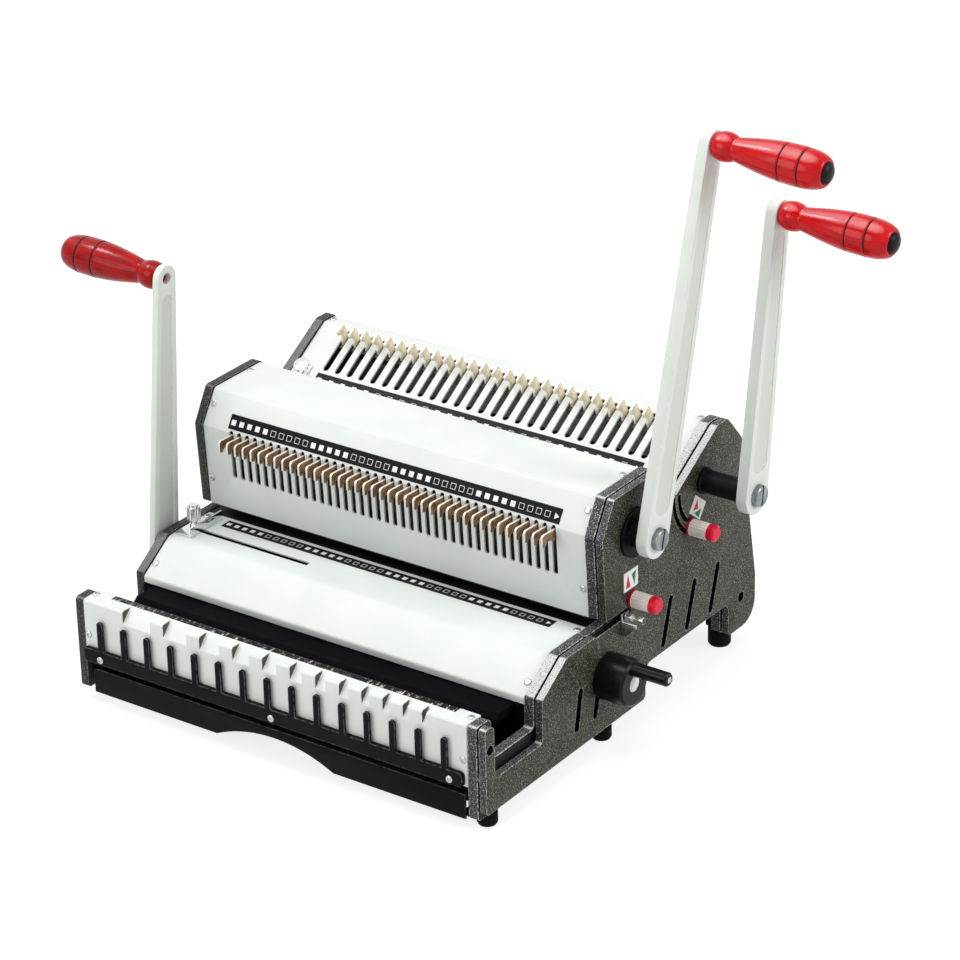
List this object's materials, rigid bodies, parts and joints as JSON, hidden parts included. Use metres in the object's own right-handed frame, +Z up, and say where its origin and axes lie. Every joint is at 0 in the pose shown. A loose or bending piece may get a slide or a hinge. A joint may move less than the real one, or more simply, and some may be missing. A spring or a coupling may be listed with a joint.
{
  "type": "wire binding punch and closer",
  "caption": "Desk machine that punches paper for twin-loop wire in two rows and closes the wire, with hand levers, edge guides, depth knobs and a chip tray.",
  "frame": {"origin": "on the table under the middle of the outside box", "axes": "+X to the right along the punching rows, +Y from the front to the back, +Z up"},
  "size_m": [0.687, 0.4054, 0.5027],
  "materials": {
    "hammer_paint": "dark grey hammered paint",
    "panel_paint": "pale fine-textured paint",
    "arm_paint": "pale smooth paint",
    "black_paint": "black satin paint",
    "foot_rubber": "matt black rubber",
    "label_film": "printed black film",
    "tag_film": "printed white film",
    "die_steel": "black oxide steel",
    "screw_steel": "bright zinc",
    "tab_plating": "dull brown-gold plating",
    "red_lacquer": "gloss red lacquer on turned wood",
    "knob_alloy": "ribbed dull alloy",
    "cap_red": "gloss red",
    "crank_black": "gloss black",
    "guide_chrome": "bright chrome"
  },
  "bodies": {
    "frame": {"left_side_plate": "hammer_paint", "right_side_plate": "hammer_paint", "right_outer_cover": "hammer_paint", "feet": "foot_rubber", "tray_runners": "black_paint", "front_panel": "panel_paint", "finger_rail": "black_paint", "closing_anvil": "black_paint", "well_trough": "black_paint", "deck_panel": "panel_paint", "deck_label": "label_film", "front_housing": "panel_paint", "front_label": "label_film", "front_die": "die_steel", "front_stripper": "die_steel", "rear_housing": "panel_paint", "rear_label": "label_film", "rear_die": "die_steel", "rear_stripper": "die_steel", "rear_cover": "panel_paint", "carrier_guides": "die_steel", "panel_screws": "screw_steel", "pivot_boss": "black_paint", "shaft_sleeve": "black_paint", "side_tags": "tag_film", "side_latch": "screw_steel"},
    "closer_lever": {"closer_arm": "arm_paint", "closer_handle": "red_lacquer", "closer_bolt": "screw_steel", "closer_shaft": "die_steel"},
    "closer_press": {"closer_bar": "black_paint"},
    "front_lever": {"front_arm": "arm_paint", "front_handle": "red_lacquer", "front_bolt": "screw_steel", "front_shaft": "die_steel"},
    "front_punch": {"front_carrier": "die_steel", "front_tabs": "tab_plating", "front_pins": "die_steel"},
    "rear_lever": {"rear_arm": "arm_paint", "rear_handle": "red_lacquer", "rear_bolt": "screw_steel", "rear_shaft": "die_steel"},
    "rear_punch": {"rear_carrier": "die_steel", "rear_tabs": "tab_plating", "rear_pins": "die_steel"},
    "front_depth": {"front_depth_knob": "knob_alloy", "front_depth_cap": "cap_red"},
    "front_margin": {"front_stop": "die_steel"},
    "rear_depth": {"rear_depth_knob": "knob_alloy", "rear_depth_cap": "cap_red"},
    "rear_margin": {"rear_stop": "die_steel"},
    "gap_setting": {"gap_crank": "crank_black", "gap_grip": "crank_black"},
    "deck_edge_guide": {"deck_guide": "guide_chrome", "deck_guide_knob": "guide_chrome"},
    "rear_edge_guide": {"rear_guide": "guide_chrome"},
    "tray": {"chip_tray": "black_paint"}
  },
  "joints": [
    {"name": "closer_lever_hinge", "type": "hinge", "parent": "frame", "child": "closer_lever", "pos_m": [-0.02685, -0.07873, 0.056], "axis": [1, 0, 0], "range_deg": [0, 60]},
    {"name": "closer_press_slide", "type": "slide", "parent": "frame", "child": "closer_press", "axis": [0, -1, 0], "range_m": [0, 0.012]},
    {"name": "front_lever_hinge", "type": "hinge", "parent": "frame", "child": "front_lever", "pos_m": [-0.02685, 0.01427, 0.179], "axis": [1, 0, 0], "range_deg": [0, 70]},
    {"name": "front_punch_slide", "type": "slide", "parent": "frame", "child": "front_punch", "axis": [0, 0, -1], "range_m": [0, 0.01377]},
    {"name": "rear_lever_hinge", "type": "hinge", "parent": "frame", "child": "rear_lever", "pos_m": [-0.02685, 0.11915, 0.18242], "axis": [1, 0, 0], "range_deg": [0, 70]},
    {"name": "rear_punch_slide", "type": "slide", "parent": "frame", "child": "rear_punch", "axis": [0, -0.8545, -0.5195], "range_m": [0, 0.01377]},
    {"name": "front_depth_turn", "type": "hinge", "parent": "frame", "child": "front_depth", "pos_m": [-0.02685, 0.01127, 0.12], "axis": [1, 0, 0], "range_deg": [-60, 60]},
    {"name": "front_margin_slide", "type": "slide", "parent": "frame", "child": "front_margin", "axis": [0, 1, 0], "range_m": [-0.00173, 0.00173]},
    {"name": "rear_depth_turn", "type": "hinge", "parent": "frame", "child": "rear_depth", "pos_m": [-0.02685, 0.09867, 0.14843], "axis": [1, 0, 0], "range_deg": [-60, 60]},
    {"name": "rear_margin_slide", "type": "slide", "parent": "frame", "child": "rear_margin", "axis": [0, -0.5195, 0.8545], "range_m": [-0.00173, 0.00173]},
    {"name": "gap_crank_turn", "type": "hinge", "parent": "frame", "child": "gap_setting", "pos_m": [-0.02685, -0.02793, 0.0674], "axis": [1, 0, 0], "continuous": true},
    {"name": "deck_guide_slide", "type": "slide", "parent": "frame", "child": "deck_edge_guide", "axis": [1, 0, 0], "range_m": [0, 0.11]},
    {"name": "rear_guide_slide", "type": "slide", "parent": "frame", "child": "rear_edge_guide", "axis": [1, 0, 0], "range_m": [0, 0.085]},
    {"name": "tray_slide", "type": "slide", "parent": "frame", "child": "tray", "axis": [0, -1, 0], "range_m": [0, 0.21]}
  ],
  "couplings": [
    {"joint": "closer_press_slide", "follows": "closer_lever_hinge", "m_per_rad": 0.011459},
    {"joint": "front_punch_slide", "follows": "front_lever_hinge", "m_per_rad": 0.011267},
    {"joint": "rear_punch_slide", "follows": "rear_lever_hinge", "m_per_rad": 0.011267},
    {"joint": "front_depth_turn", "follows": "front_margin_slide", "rad_per_m": -604.6},
    {"joint": "rear_depth_turn", "follows": "rear_margin_slide", "rad_per_m": 604.6}
  ]
}
